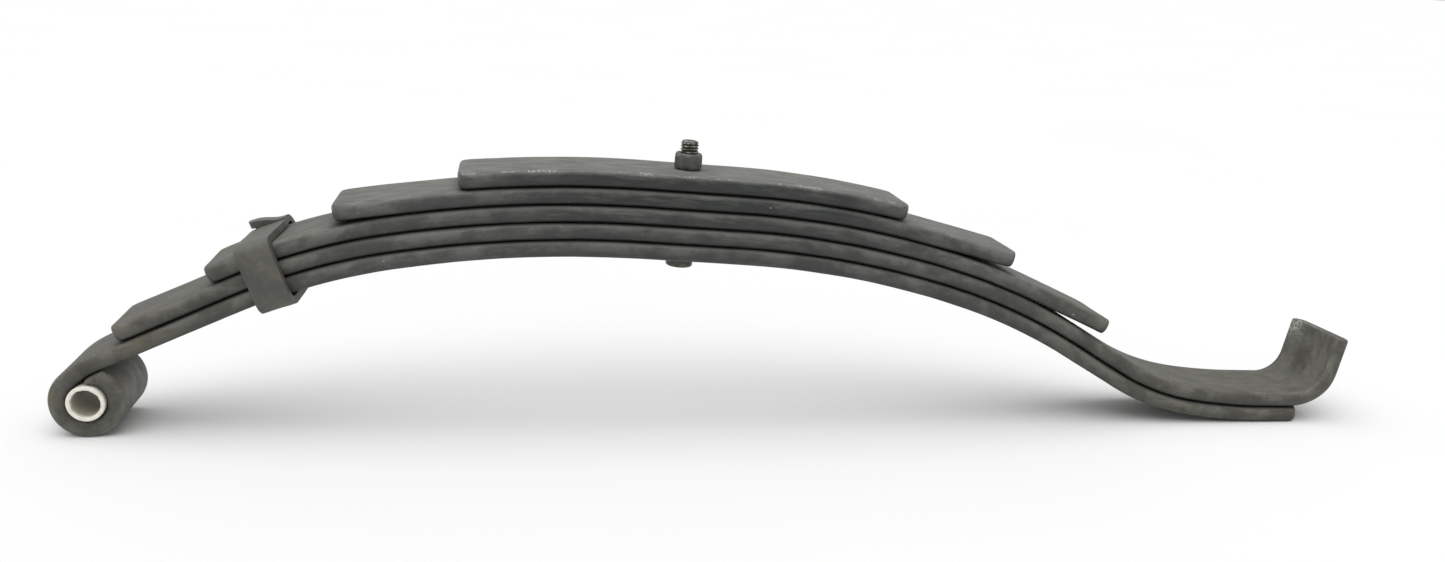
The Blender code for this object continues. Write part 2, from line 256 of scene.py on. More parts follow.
# Camera: place, heading from +Y towards +X, pitch, roll and lens
CAMERA_PLACE = (-0.12538, -0.64503, 0.24866)
CAMERA_HEADING = 9.883
CAMERA_PITCH = -14.718
CAMERA_ROLL = 2.915
CAMERA_LENS = 31.40
CAMERA_NEAR = 0.01
SENSOR_WIDTH = 36.0


# ---------------------------------------------------------------- leaf line


def arc(radius, turn):
    """A (length, turn) entry of the leaf line for an arc of this radius."""
    return radius * abs(math.radians(turn)), turn


def length_of(arcs):
    return sum(length for length, _ in arcs)


BASE_FRONT = [SEAT, FRONT_SHOULDER, FRONT_KNEE, FRONT_STRAIGHT]
BASE_REAR = [SEAT, REAR_SHOULDER, REAR_KNEE, REAR_STRAIGHT, SLIPPER_RISE, SLIPPER_EASE, SLIPPER_FLAT]
EYE_FRONT = BASE_FRONT + [arc(EYE_LEAD_RADIUS, EYE_LEAD_TURN), arc(EYE_RADIUS, EYE_TURN)]
HOOK_REAR = BASE_REAR[:-1] + [(HOOK_START, 0.0), arc(HOOK_RADIUS, HOOK_TURN), (HOOK_HEIGHT, 0.0)]

# Each leaf from the bottom up. A side is its line, its reach from the origin, the radius of its end's corners
# in plan, and the radius of its end's edges.
LEAVES = {
    "main_leaf": {
        "front": (EYE_FRONT, length_of(EYE_FRONT), 0.0008, 0.0009),
        "rear": (BASE_REAR, length_of(BASE_REAR), 0.0055, 0.0022),
    },
    "second_leaf": {
        "front": (BASE_FRONT, 0.2905, 0.0060, 0.0022),
        "rear": (HOOK_REAR, length_of(HOOK_REAR), 0.0018, 0.0010),
    },
    "third_leaf": {
        "front": (BASE_FRONT, 0.2375, 0.0060, 0.0024),
        "rear": ([SEAT, REAR_SHOULDER, (0.030, 5.2), (0.080, 3.4)], 0.2390, 0.0055, 0.0018),
    },
    "fourth_leaf": {
        "front": ([SEAT, (0.100, 9.4), (0.070, 3.5)], 0.1755, 0.0060, 0.0024),
        "rear": ([SEAT, (0.100, 11.5), (0.070, 0.0)], 0.1743, 0.0055, 0.0018),
    },
    "fifth_leaf": {
        "front": ([SEAT, FRONT_SHOULDER], 0.1147, 0.0055, 0.0018),
        "rear": ([SEAT, REAR_SHOULDER], 0.1090, 0.0055, 0.0018),
    },
}
LEAF_NAMES = list(LEAVES)
HOOK_LEVEL = LEAF_NAMES.index("second_leaf")
TOP_LEVEL = len(LEAF_NAMES) - 1
SIGNS = {"front": -1, "rear": 1}


def line_frame(arcs, sign, distance):
    """(x, z, fall) of the leaf line at this distance from its origin, its fall in radians outwards."""
    left = distance
    x, z = LINE_X, LINE_Z
    fall = sign * math.radians(SEAT_FALL)
    for length, turn in arcs:
        step = min(left, length)
        bend = math.radians(turn) * step / length
        chord = step if abs(bend) < 1e-9 else step * math.sin(bend / 2) / (bend / 2)
        x += sign * chord * math.cos(fall + bend / 2)
        z -= chord * math.sin(fall + bend / 2)
        fall += bend
        left -= step
        if left <= 0:
            break
    return x, z, fall


def line_point(arcs, sign, distance, height):
    """The world point at a distance from the line's origin, raised by a height square to the line."""
    x, z, fall = line_frame(arcs, sign, distance)
    return Vector((x + sign * height * math.sin(fall), 0.0, z + height * math.cos(fall)))


def seat_matrix(height):
    """The frame of the bolt, raised along it by a height above the main leaf's top face."""
    point = line_point(BASE_FRONT, -1, -BOLT_PLACE, height)
    return Matrix.Translation(point) @ Matrix.Rotation(math.radians(SEAT_FALL), 4, "Y")


def eye_centre():
    return line_point(EYE_FRONT, -1, length_of(EYE_FRONT[:-1]), -EYE_RADIUS)


# ---------------------------------------------------------------- mesh helpers


def smoothstep(low, high, value):
    share = min(1.0, max(0.0, (value - low) / (high - low)))
    return share * share * (3 - 2 * share)


def soft_min(first, second, softness):
    """The smaller of two numbers, with the change from one to the other rounded off."""
    return 0.5 * (first + second - math.sqrt((first - second) ** 2 + softness * softness))


def round_off(radius, distance):
    """How far a rounded edge of this radius lies inside its corner, at a distance along from the corner."""
    if distance >= radius:
        return 0.0
    return radius - math.sqrt(radius * radius - (radius - distance) ** 2)


def quarter_round(radius):
    """A rounded edge in steps: (how far in from the side, how far down from the end) at each."""
    angles = [math.pi / 2 * step / ROUND_STEPS for step in range(ROUND_STEPS + 1)]
    return [(radius * (1 - math.sin(angle)), radius * (1 - math.cos(angle))) for angle in angles]


def add_mesh(name, bm, material, sharp_angle=40.0):
    bmesh.ops.recalc_face_normals(bm, faces=bm.faces[:])
    mesh = bpy.data.meshes.new(name)
    bm.to_mesh(mesh)
    bm.free()
    mesh.materials.append(material)
    mesh.shade_smooth()
    mesh.set_sharp_from_angle(angle=math.radians(sharp_angle))
    obj = bpy.data.objects.new(name, mesh)
    bpy.context.scene.collection.objects.link(obj)
    return obj


def apply_modifiers(obj, sharp_angle=40.0):
    bpy.context.view_layer.update()
    graph = bpy.context.evaluated_depsgraph_get()
    mesh = bpy.data.meshes.new_from_object(obj.evaluated_get(graph))
    obj.modifiers.clear()
    obj.data = mesh
    mesh.shade_smooth()
    mesh.set_sharp_from_angle(angle=math.radians(sharp_angle))


def tube_of_rings(bm, rings, closed):
    """Faces between rings of as many vertices each. A closed tube joins its last ring to its first."""
    pairs = list(zip(rings, rings[1:]))
    if closed:
        pairs.append((rings[-1], rings[0]))
    for low, high in pairs:
        for i in range(len(low)):
            j = (i + 1) % len(low)
            bm.faces.new((low[i], low[j], high[j], high[i]))
    if not closed:
        bm.faces.new(rings[0])
        bm.faces.new(rings[-1])


def turned_piece(name, rows, sides, point, closed, matrix, material, sharp_angle):
    """A round piece: point(row, angle) gives (radius, height) about the local Z axis."""
    bm = bmesh.new()
    rings = []
    for row in rows:
        ring = []
        for i in range(sides):
            angle = 2 * math.pi * i / sides
            radius, height = point(row, angle)
            ring.append(bm.verts.new((radius * math.cos(angle), radius * math.sin(angle), height)))
        rings.append(ring)
    tube_of_rings(bm, rings, closed)
    obj = add_mesh(name, bm, material, sharp_angle)
    obj.matrix_world = matrix
    return obj


# ---------------------------------------------------------------- leaves


def end_rows(corner, edge):
    """Distances from an end at which its plan corners and its edges need rows."""
    rows = {0.0}
    for radius in (corner, edge):
        for step in range(1, END_STEPS + 1):
            rows.add(radius * (1 - math.cos(math.pi / 2 * step / END_STEPS)))
    return rows


def leaf_distances(arcs, reach, corner, edge):
    """Distances of the rows of one half of a leaf, from the origin to the end."""
    rows = [0.0]
    begun = 0.0
    for length, turn in arcs:
        count = max(1, math.ceil(max(length / ROW_LENGTH, abs(turn) / ROW_TURN) - 1e-6))
        rows += [begun + length * i / count for i in range(1, count + 1)]
        begun += length
    ends = [reach - row for row in end_rows(corner, edge)]
    last = min(ends) - ROW_LENGTH / 3
    return [row for row in rows if row < last] + sorted(ends)


def section(half_width, half_thick):
    """The bar's outline from the near top corner round: (across, height, share of the rounded edge)."""
    points = []
    flat = half_width - EDGE_DEPTH
    for side in (1, -1):
        for i in range(FLAT_STEPS):
            points.append((side * flat * (2 * i / FLAT_STEPS - 1), side * half_thick, 0.0))
        for i in range(EDGE_STEPS):
            angle = math.pi / 2 - math.pi * i / EDGE_STEPS
            out = EDGE_DEPTH * abs(math.cos(angle)) ** (2 / EDGE_POWER)
            up = half_thick * math.copysign(abs(math.sin(angle)) ** (2 / EDGE_POWER), math.sin(angle))
            points.append((side * (flat + out), side * up, math.cos(angle)))
    return points


def uneven(point, seed, calm):
    """The bar's departure from its true shape at a point, as a height."""
    shifted = point + Vector((0, seed, 0))
    wave = noise.noise(shifted / WAVE_LENGTH)
    patch = max(0.0, noise.noise(shifted / WAVE_LENGTH * NICK_PATCHES))
    nick = abs(noise.noise(shifted / NICK_LENGTH) * patch)
    return calm * (WAVE_HEIGHT * wave - NICK_HEIGHT * nick)


def lead_underside():
    """Points just under the main leaf where it leads into the eye, relative to the eye's centre."""
    centre = eye_centre()
    start = length_of(BASE_FRONT) - LEAD_BACK
    height = -LEAF_THICK - WRAP_GAP
    distances = [start + step * LEAD_STEP for step in range(LEAD_STEPS)]
    return [line_point(EYE_FRONT, -1, distance, height) - centre for distance in distances]


def wrap_room(underside, x, z):
    """How far from the eye's centre the wrapped end may reach towards (x, z) before it meets the lead-in."""
    centre = eye_centre()
    toward = Vector((x - centre.x, 0.0, z - centre.z)).normalized()
    across = Vector((toward.z, 0.0, -toward.x))
    for low, high in zip(underside, underside[1:]):
        before, after = low.dot(across), high.dot(across)
        if before * after <= 0 and low.dot(toward) > 0:
            return low.lerp(high, before / (before - after)).dot(toward)
    return EYE_RADIUS


def leaf_tone(level, distance, rise, swell):
    """Four masks of a leaf's finish: oily middle, brown arms, height up the side, rounded edge."""
    middle = 1.0 - smoothstep(*OILY_SPAN, distance)
    oily = middle * (OILY_LEAST + (1 - OILY_LEAST) * min(1.0, level / OILY_LEVELS))
    brown = smoothstep(*BROWN_SPAN, distance)
    return oily, brown, 0.5 + 0.5 * max(-1.0, min(1.0, rise)), max(0.0, swell)


def leaf_shade_glint_and_scuff(level, side, distance, rise, across):
    """Masks of painted shade beside the gaps, of the open upper edges that get painted glints, and of the
    hook's scuffed tip.
    """
    covered = 0.0
    if level < TOP_LEVEL:
        above = LEAVES[LEAF_NAMES[level + 1]][side][1]
        covered = 1.0 - smoothstep(*COVERED_SPAN, distance - above)
    # Painted shade beside the gaps: at a top edge covered by the leaf above, and at a lower edge
    if rise > 0:
        gap_shade = covered * smoothstep(*GAP_ABOVE_SPAN, rise)
    else:
        gap_shade = smoothstep(*GAP_BELOW_SPAN, -rise) * (1.0 if level > 0 else GAP_OPEN_SHARE)
    # Open upper edges, which get painted glints
    edge_mask = smoothstep(*GLINT_EDGE_SPAN, rise) * (1.0 - covered)
    if level < TOP_LEVEL:
        edge_mask *= GLINT_EDGE_LOWER_SHARE
    scuffed = 0.0
    if level == HOOK_LEVEL and side == "rear" and rise > 0:
        from_tip = distance - length_of(HOOK_REAR)
        scuffed = smoothstep(*SCUFF_SPAN, from_tip) * smoothstep(*SCUFF_SIDE_SPAN, across)
    return gap_shade, edge_mask, scuffed, 1.0


def leaf_half(leaf_name, side, level, material):
    """One half of a leaf: rings along its line, closed at the origin and at its end."""
    arcs, reach, corner, edge = LEAVES[leaf_name][side]
    sign = SIGNS[side]
    wrap_start = length_of(EYE_FRONT[:-1]) + WRAP_START
    hook_start = length_of(HOOK_REAR[:-2])
    underside = lead_underside() if arcs is EYE_FRONT else []
    bm = bmesh.new()
    place = bm.verts.layers.float_vector.new("place")
    tone = bm.verts.layers.float_color.new("tone")
    # This layer carries painted shade beside the gaps, the open upper edges that get painted glints, and the
    # hook's scuff
    grime = bm.verts.layers.float_color.new("grime")
    rings = []
    for distance in leaf_distances(arcs, reach, corner, edge):
        x, z, fall = line_frame(arcs, sign, distance)
        inset = round_off(edge, reach - distance)
        half_width = LEAF_WIDTH / 2 - round_off(corner, reach - distance) - inset
        thick = LEAF_THICK
        if underside and distance > wrap_start:
            thick = min(thick, wrap_room(underside, x, z) - EYE_RADIUS + LEAF_THICK)
        middle = level * LEAF_PITCH - LEAF_THICK + thick / 2
        half_thick = thick / 2 - inset
        calm = smoothstep(0.0, CALM_LENGTH, distance - CALM_START)
        skew = 0.0
        if arcs is HOOK_REAR:
            skew = HOOK_SKEW * smoothstep(hook_start, hook_start + HOOK_RADIUS, distance)
        ring = []
        around = 0.0
        previous = None
        for across, height, swell in section(half_width, half_thick):
            flat_point = Vector((sign * distance, across, height))
            if previous is not None:
                around += (flat_point - previous).length
            previous = flat_point
            lift = uneven(flat_point, level + 1.0, calm)
            across_now = across + lift * EDGE_WAVE * swell * math.copysign(1.0, across)
            up = middle + height + lift * height / half_thick
            askew = skew * (LEAF_WIDTH / 2 - across_now)
            x_now = x + askew + sign * up * math.sin(fall)
            vert = bm.verts.new((x_now, across_now, z + up * math.cos(fall)))
            rise = height / (LEAF_THICK / 2)
            vert[place] = Vector((sign * distance, around, level * LEAF_SHIFT))
            vert[tone] = leaf_tone(level, distance, rise, swell)
            vert[grime] = leaf_shade_glint_and_scuff(level, side, distance, rise, across)
            ring.append(vert)
        rings.append(ring)
    tube_of_rings(bm, rings, closed=False)
    return add_mesh(f"{leaf_name}_{side}_half", bm, material)


def make_hole_cutter():
    bm = bmesh.new()
    bmesh.ops.create_cone(
        bm,
        cap_ends=True,
        segments=BOLT_HOLE_SIDES,
        radius1=BOLT_HOLE_RADIUS,
        radius2=BOLT_HOLE_RADIUS,
        depth=BOLT_HOLE_DEPTH,
    )
    mesh = bpy.data.meshes.new("bolt_hole")
    bm.to_mesh(mesh)
    bm.free()
    cutter = bpy.data.objects.new("bolt_hole", mesh)
    cutter.matrix_world = seat_matrix(0.0)
    bpy.context.scene.collection.objects.link(cutter)
    return cutter


def make_leaves(material):
    cutter = make_hole_cutter()
    mid_pack = (3 * LEAF_PITCH - LEAF_THICK) / 2
    for level, leaf_name in enumerate(LEAF_NAMES):
        for side, sign in SIGNS.items():
            half = leaf_half(leaf_name, side, level, material)
            boolean = half.modifiers.new("bolt_hole", "BOOLEAN")
            boolean.object = cutter
            boolean.operation = "DIFFERENCE"
            apply_modifiers(half)
            arm = side + "_arm"
            base = BASE_FRONT if sign < 0 else BASE_REAR
            start = line_point(base, sign, BEND_START, mid_pack)
            end = line_point(base, sign, BEND_END, mid_pack)
            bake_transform(half)
            nodes = ["fifth_leaf"] if level == TOP_LEVEL else [leaf_name + "_centre", leaf_name + "_" + arm]
            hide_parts(*nodes)
    bpy.data.objects.remove(cutter)


# ---------------------------------------------------------------- bolt, nut, bushing


def bolt_rows():
    """The bolt's profile from its head up: (radius, height, share of the thread)."""
    head_top = -LEAF_THICK - TOUCH_GAP
    head_bottom = head_top - BOLT_HEAD_HEIGHT
    thread_start = TOP_LEVEL * LEAF_PITCH + THREAD_START
    top = TOP_LEVEL * LEAF_PITCH + TOUCH_GAP + NUT_HEIGHT + THREAD_PROUD
    rows = [
        (BOLT_HEAD_RADIUS - inset, head_bottom + down, 0.0)
        for inset, down in quarter_round(BOLT_HEAD_ROUND)
    ]
    rows += [
        (BOLT_HEAD_RADIUS, head_top - BOLT_NECK, 0.0),
        (BOLT_HEAD_RADIUS - BOLT_NECK, head_top, 0.0),
        (BOLT_RADIUS + BOLT_NECK / 2, head_top, 0.0),
        (BOLT_RADIUS, head_top + BOLT_NECK, 0.0),
        (BOLT_RADIUS, thread_start, 0.0),
    ]
    steps = math.ceil((top - thread_start) / (THREAD_PITCH / THREAD_ROWS))
    for i in range(1, steps + 1):
        height = thread_start + (top - thread_start) * i / steps
        limit = BOLT_RADIUS - max(0.0, BOLT_CHAMFER - (top - height)) * BOLT_CHAMFER_SLOPE
        rows.append((limit, height, smoothstep(0.0, THREAD_FADE, height - thread_start)))
    rows += [
        (BOLT_RADIUS - BOLT_CHAMFER - BOLT_NECK, top + BOLT_END_DISH, 0.0),
        (BOLT_RADIUS * 0.55, top - BOLT_END_DISH, 0.0),
        (BOLT_RADIUS * 0.2, top - 2 * BOLT_END_DISH, 0.0),
    ]
    return rows


def bolt_point(row, angle):
    """A point of the bolt, in the groove of its rolled thread where it has one."""
    limit, height, thread = row
    if thread == 0:
        return limit, height
    turn = (height / THREAD_PITCH - angle / (2 * math.pi)) % 1.0
    groove = max(0.0, 1.0 - abs(turn - 0.5) / THREAD_FLANK)
    worn = THREAD_WEAR * noise.noise(Vector((angle * 3, height * 900, 4.0)))
    return min(limit, BOLT_RADIUS - THREAD_DEPTH * groove * thread + worn), height


def make_bolt(material):
    """The centre bolt, with a round head below the pack and a rolled thread above the nut."""
    bolt = turned_piece("bolt", bolt_rows(), BOLT_SIDES, bolt_point, False, seat_matrix(0.0), material, 50.0)
    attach(bolt, "centre")
    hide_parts("centre_bolt")


def nut_rows():
    """The nut's profile round its bore and its outside: (radius, or None on the outside, height)."""
    bore = BOLT_RADIUS + NUT_BORE_PLAY
    flat = NUT_HEIGHT - 2 * NUT_CHAMFER
    falls = [NUT_CHAMFER * i / NUT_CHAMFER_STEPS for i in range(NUT_CHAMFER_STEPS + 1)]
    heights = [NUT_HEIGHT - fall for fall in falls]
    heights += [heights[-1] - flat * i / NUT_FLAT_STEPS for i in range(1, NUT_FLAT_STEPS + 1)]
    heights += [NUT_CHAMFER - fall for fall in falls[1:]]
    return [
        (bore + NUT_BORE_CHAMFER, 0.0),
        (bore, NUT_BORE_CHAMFER),
        (bore, NUT_HEIGHT - NUT_BORE_CHAMFER),
        (bore + NUT_BORE_CHAMFER, NUT_HEIGHT),
    ] + [(None, height) for height in heights]


def nut_point(row, angle):
    """A point of the nut: on its outside a hexagon, with cut corners and a cone turned at both faces."""
    radius, height = row
    if radius is not None:
        return radius, height
    face = NUT_ACROSS_FLATS / 2
    from_flat = (angle - math.radians(NUT_TURN)) % (math.pi / 3) - math.pi / 6
    corner = face / math.cos(math.pi / 6) - NUT_CORNER_CUT
    hexagon = min(face / math.cos(from_flat), corner)
    cone = face - NUT_CONE_INSET + NUT_CONE_SLOPE * min(height, NUT_HEIGHT - height)
    return soft_min(cone, hexagon, NUT_SOFTNESS), height


def make_nut(material):
    """The hexagon nut: flats, slightly rounded corners and a chamfer at both faces."""
    matrix = seat_matrix(TOP_LEVEL * LEAF_PITCH + TOUCH_GAP)
    nut = turned_piece("nut", nut_rows(), NUT_SIDES, nut_point, True, matrix, material, 38.0)
    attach(nut, "centre")
    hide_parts("centre_nut")


def bushing_rows():
    """The sleeve's profile, out and back: (radius, height, whether its edge is ragged)."""
    half = BUSH_LENGTH / 2
    shares = (-0.8, -0.4, 0.0, 0.4, 0.8)
    lip = quarter_round(BUSH_LIP)
    outer = [(BUSH_OUTER_RADIUS - inset, half - down) for inset, down in lip]
    inner = [(BUSH_BORE_RADIUS + inset, half - down) for inset, down in lip]
    rows = [(radius, -height, False) for radius, height in outer]
    rows += [(BUSH_OUTER_RADIUS, half * share, False) for share in shares]
    rows += [(radius, height, False) for radius, height in reversed(outer)]
    rows += [(radius, height, True) for radius, height in inner]
    rows += [(BUSH_BORE_RADIUS, half * share, False) for share in reversed(shares)]
    rows += [(radius, -height, True) for radius, height in reversed(inner)]
    return rows


def bushing_point(row, angle):
    radius, height, ragged = row
    if ragged:
        direction = Vector((math.cos(angle), math.sin(angle), 0.0))
        chip = noise.noise(direction * 3.1 + Vector((0, 0, height * 50)))
        fine = noise.noise(direction * 9.0 + Vector((3, 0, height * 50)))
        radius += BUSH_CHIP * chip + BUSH_FINE_CHIP * fine
    return radius, height


def make_bushing(material):
    """The nylon sleeve in the eye, its bore's lip ragged from the mould."""
    matrix = Matrix.Translation(eye_centre()) @ Matrix.Rotation(math.radians(90), 4, "X")
    bush = turned_piece("bushing", bushing_rows(), BUSH_SIDES, bushing_point, True, matrix, material, 50.0)
    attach(bush, "front_arm")
    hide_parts("eye_bushing")


# ---------------------------------------------------------------- rebound clip


def clip_matrix():
    """The clip's frame: X along the leaves, Z square to them, its origin at the middle of the three leaves."""
    middle = 1.5 * LEAF_PITCH - LEAF_GAP / 2 - LEAF_THICK
    centre = line_point(BASE_FRONT, -1, CLIP_DISTANCE, middle)
    ahead = line_point(BASE_FRONT, -1, CLIP_DISTANCE - CLIP_BAND / 2, middle)
    behind = line_point(BASE_FRONT, -1, CLIP_DISTANCE + CLIP_BAND / 2, middle)
    slope = math.atan2(ahead.z - behind.z, ahead.x - behind.x)
    turn = Matrix.Rotation(-slope, 4, "Y") @ Matrix.Rotation(math.radians(CLIP_SKEW), 4, "Z")
    return Matrix.Translation(centre) @ turn


def clip_walls(half_y, half_z):
    """The strap's middle line from the far tab's root round to the near tab's root: (y, z) points."""
    corners = []
    for side_y, side_z, first in ((1, 1, 90), (1, -1, 0), (-1, -1, -90), (-1, 1, 180)):
        for step in range(CLIP_CORNER_STEPS + 1):
            angle = math.radians(first - 90 * step / CLIP_CORNER_STEPS)
            y = side_y * (half_y - CLIP_CORNER) + CLIP_CORNER * math.cos(angle)
            z = side_z * (half_z - CLIP_CORNER) + CLIP_CORNER * math.sin(angle)
            corners.append(Vector((y, z)))
    points = []
    for spot, following in zip(corners, corners[1:]):
        steps = CLIP_WALL_STEPS if (following - spot).length > CLIP_WALL_LENGTH else 1
        points += [spot.lerp(following, i / steps) for i in range(steps)]
    return points + corners[-1:]


def clip_seam(along):
    """How far from the middle the tabs meet, at a place along the band."""
    return CLIP_SEAM_FRONT + (CLIP_SEAM_REAR - CLIP_SEAM_FRONT) * (along + 1) / 2


def clip_column(along, walls, half_z):
    """The strap's middle line at a place along the band, from the far tab's tip to the near tab's tip."""
    opening = CLIP_SEAM_OPENING * (1 - smoothstep(0.1, 0.4, along)) + CLIP_SEAM_CLOSED
    from_front = (along + 1) * CLIP_BAND / 2
    far_tip = clip_seam(along) + opening + round_off(CLIP_FAR_ROUND, from_front) * CLIP_FAR_ROUND_SHARE
    near_tip = clip_seam(along) - opening - round_off(CLIP_NEAR_ROUND, from_front)
    far_root, near_root = walls[0].x, walls[-1].x
    shares = [i / CLIP_TAB_STEPS for i in range(1, CLIP_TAB_STEPS + 1)]
    far_tab = [(far_root + (far_tip - far_root) * share, half_z) for share in reversed(shares)]
    near_tab = [(near_root + (near_tip - near_root) * share, half_z) for share in shares]
    return far_tab + [(spot.x, spot.y) for spot in walls] + near_tab


def clip_point(along, y, z, half_y, half_z):
    """A point of the strap: its far tab is sprung up and slipped forwards, and it sags under the near side."""
    lift = 0.0
    slip = 0.0
    if y > clip_seam(along):
        lift = CLIP_LIFT + CLIP_SPRUNG * (1 - smoothstep(-0.7, 0.75, along))
        lift *= smoothstep(-0.4 * half_z, half_z, z)
        slip = CLIP_SLIP * smoothstep(0.0, half_z, z) * (1 - 0.7 * (along + 1) / 2)
    sag = CLIP_SAG * smoothstep(0.2 * half_z, -half_z, z) * smoothstep(half_y, -half_y, y)
    point = Vector((along * CLIP_BAND / 2 - slip, y, z + lift - sag))
    dent = noise.noise(point / CLIP_DENT_LENGTH + Vector((7, 0, 0))) * CLIP_DENT_HEIGHT
    outward = Vector((0, point.y / half_y, point.z / half_z)).normalized()
    return point + outward * dent


def make_clip(material):
    """The strap folded round three leaves. Its long near tab and its short, lifted far tab meet at a seam."""
    half_y = CLIP_INNER_HALF_WIDTH + CLIP_STRAP / 2
    half_z = 1.5 * LEAF_PITCH - LEAF_GAP / 2 + CLIP_CLEARANCE + CLIP_STRAP / 2
    walls = clip_walls(half_y, half_z)
    places = [2 * column / CLIP_COLUMNS - 1 for column in range(CLIP_COLUMNS + 1)]
    columns = [clip_column(along, walls, half_z) for along in places]
    bm = bmesh.new()
    grid = [
        [bm.verts.new(clip_point(along, y, z, half_y, half_z)) for along, (y, z) in zip(places, row)]
        for row in zip(*columns)
    ]
    for low, high in zip(grid, grid[1:]):
        for i in range(CLIP_COLUMNS):
            bm.faces.new((low[i], low[i + 1], high[i + 1], high[i]))
    clip = add_mesh("clip", bm, material)
    clip.matrix_world = clip_matrix()
    solid = clip.modifiers.new("thickness", "SOLIDIFY")
    solid.thickness = CLIP_STRAP
    solid.offset = 0.0
    solid.use_even_offset = True
    bevel = clip.modifiers.new("rounded_edges", "BEVEL")
    bevel.width = CLIP_BEVEL
    bevel.segments = CLIP_BEVEL_STEPS
    bevel.limit_method = "ANGLE"
    bevel.angle_limit = math.radians(50)
    apply_modifiers(clip)
    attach(clip, "front_arm")
    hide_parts("rebound_clip")


# ---------------------------------------------------------------- materials


class Nodes:
    """Short ways to add and link the nodes of one material."""

    def __init__(self, name):
        self.material = bpy.data.materials.new(name)
        self.material.use_nodes = True
        self.tree = self.material.node_tree
        self.shader = self.tree.nodes["Principled BSDF"]

    def add(self, kind, **settings):
        node = self.tree.nodes.new(kind)
        for key, value in settings.items():
            setattr(node, key, value)
        return node

    def feed(self, socket, value):
        if isinstance(value, bpy.types.NodeSocket):
            self.tree.links.new(value, socket)
        else:
            socket.default_value = value

    def math(self, operation, first, second=0.0, clamp=False):
        node = self.add("ShaderNodeMath", operation=operation, use_clamp=clamp)
        self.feed(node.inputs[0], first)
        self.feed(node.inputs[1], second)
        return node.outputs[0]

    def times(self, first, *others):
        for other in others:
            first = self.math("MULTIPLY", first, other)
        return first

    def span(self, value, low, high, to_low=0.0, to_high=1.0):
        """The value's place between low and high, eased, as a number from to_low to to_high."""
        node = self.add("ShaderNodeMapRange", interpolation_type="SMOOTHSTEP")
        for index, number in enumerate((value, low, high, to_low, to_high)):
            self.feed(node.inputs[index], number)
        return node.outputs[0]

    def mix(self, share, first, second):
        node = self.add("ShaderNodeMix", data_type="RGBA")
        self.feed(node.inputs["Factor"], share)
        for socket, value in ((node.inputs[6], first), (node.inputs[7], second)):
            self.feed(socket, value if isinstance(value, bpy.types.NodeSocket) else (*value, 1.0))
        return node.outputs[2]

    def noise(self, vector, scale, detail=4.0, roughness=0.55):
        node = self.add("ShaderNodeTexNoise")
        self.feed(node.inputs["Vector"], vector)
        self.feed(node.inputs["Scale"], scale)
        self.feed(node.inputs["Detail"], detail)
        self.feed(node.inputs["Roughness"], roughness)
        return node.outputs["Fac"]

    def cells(self, vector, scale):
        node = self.add("ShaderNodeTexVoronoi")
        self.feed(node.inputs["Vector"], vector)
        self.feed(node.inputs["Scale"], scale)
        return node.outputs["Distance"]

    def colour_parts(self, colour):
        node = self.add("ShaderNodeSeparateColor")
        self.feed(node.inputs[0], colour)
        return node.outputs[:3]

    def vector_parts(self, vector):
        node = self.add("ShaderNodeSeparateXYZ")
        self.feed(node.inputs[0], vector)
        return node.outputs[:3]

    def along(self, vector, share):
        """The vector shortened along the leaf, so that what is drawn with it comes out longer there."""
        node = self.add("ShaderNodeMapping")
        self.feed(node.inputs["Vector"], vector)
        node.inputs["Scale"].default_value = (share, 1.0, 1.0)
        return node.outputs[0]

    def bump(self, height, distance, strength, below=None):
        node = self.add("ShaderNodeBump")
        node.inputs["Strength"].default_value = strength
        node.inputs["Distance"].default_value = distance
        self.feed(node.inputs["Height"], height)
        if below is not None:
            self.feed(node.inputs["Normal"], below)
        return node.outputs[0]

    def facing_up(self):
        return self.vector_parts(self.geometry("Normal"))[2]

    def geometry(self, output):
        return self.add("ShaderNodeNewGeometry").outputs[output]

    def object_place(self):
        return self.add("ShaderNodeTexCoord").outputs["Object"]

    def attribute(self, name, output):
        return self.add("ShaderNodeAttribute", attribute_name=name).outputs[output]

    def finish(self, colour, rough, normal):
        """Feeds the shader, and returns the material."""
        self.feed(self.shader.inputs["Base Color"], colour)
        self.feed(self.shader.inputs["Roughness"], rough)
        self.feed(self.shader.inputs["Normal"], normal)
        return self.material


